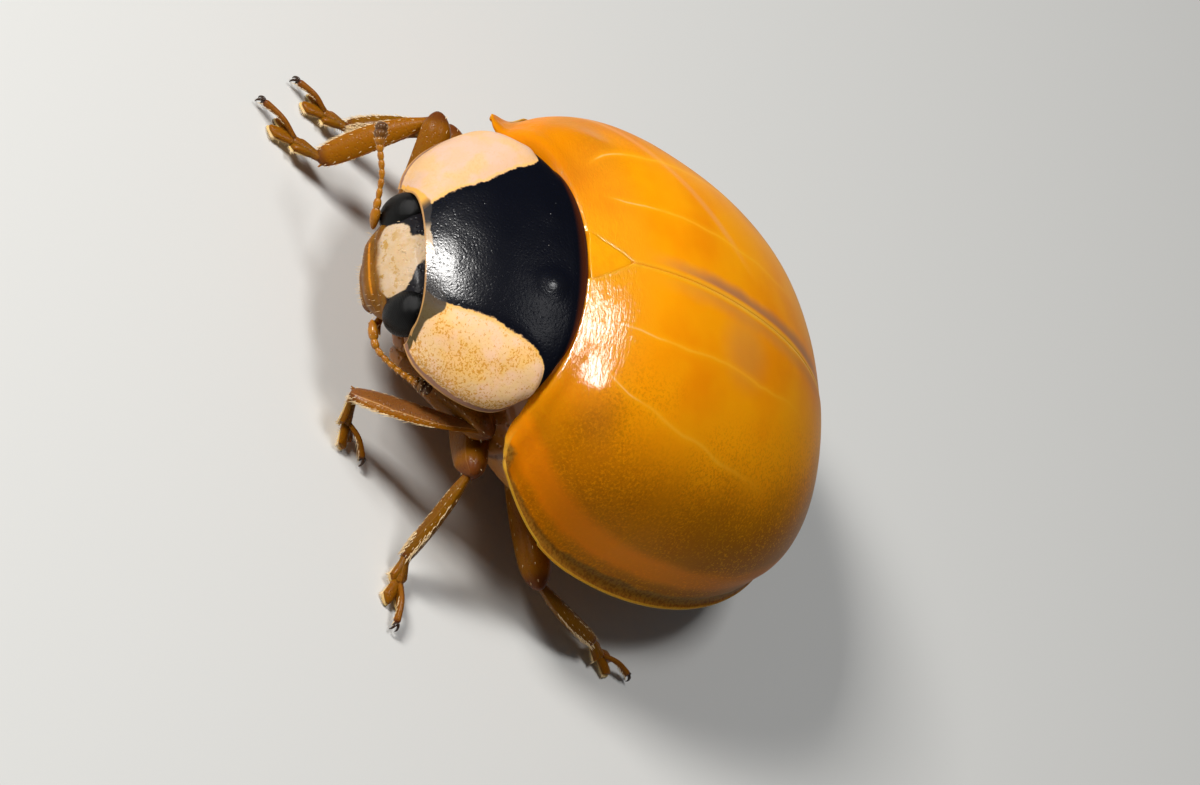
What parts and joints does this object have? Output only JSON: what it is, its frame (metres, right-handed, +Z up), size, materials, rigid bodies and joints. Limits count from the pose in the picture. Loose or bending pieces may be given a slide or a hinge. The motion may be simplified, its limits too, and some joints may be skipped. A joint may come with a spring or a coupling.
{
  "type": "ladybird",
  "caption": "Life-size ladybird beetle, newly emerged: plain translucent orange wing cases, black neck shield with cream side lobes, standing on its feet.",
  "frame": {"origin": "middle of the whole beetle's outline, on the surface that its feet stand on", "axes": "+Z up, -Y the way the head points, +X the beetle's left"},
  "size_m": [0.0072, 0.008, 0.0034],
  "materials": {
    "wing_case": "glossy, translucent orange horn, still soft and unspotted",
    "pronotum": "glossy blue-black with cream side lobes flecked with ochre, and a thin clear rim",
    "underside": "satin orange-brown, translucent",
    "head": "satin cream face, black beside the eyes, orange below",
    "eye": "black, finely faceted",
    "mouthparts": "translucent orange-brown",
    "antenna": "orange-brown with a dusky club",
    "leg": "translucent orange-brown, darker at the joints, with golden hairs"
  },
  "bodies": {
    "root": {"elytron_left": "wing_case", "elytron_right": "wing_case", "scutellum": "wing_case", "pronotum": "pronotum", "prothorax": "underside", "thorax": "underside", "abdomen": "underside", "head": "head", "eye_left": "eye", "eye_right": "eye", "labrum": "mouthparts", "palp_left": "mouthparts", "palp_right": "mouthparts", "antenna_left": "antenna", "antenna_right": "antenna", "femur_front_left": "leg", "tibia_front_left": "leg", "tarsus_front_left": "leg", "femur_front_right": "leg", "tibia_front_right": "leg", "tarsus_front_right": "leg", "femur_mid_left": "leg", "tibia_mid_left": "leg", "tarsus_mid_left": "leg", "femur_mid_right": "leg", "tibia_mid_right": "leg", "tarsus_mid_right": "leg", "femur_hind_left": "leg", "tibia_hind_left": "leg", "tarsus_hind_left": "leg", "femur_hind_right": "leg", "tibia_hind_right": "leg", "tarsus_hind_right": "leg"}
  },
  "joints": []
}
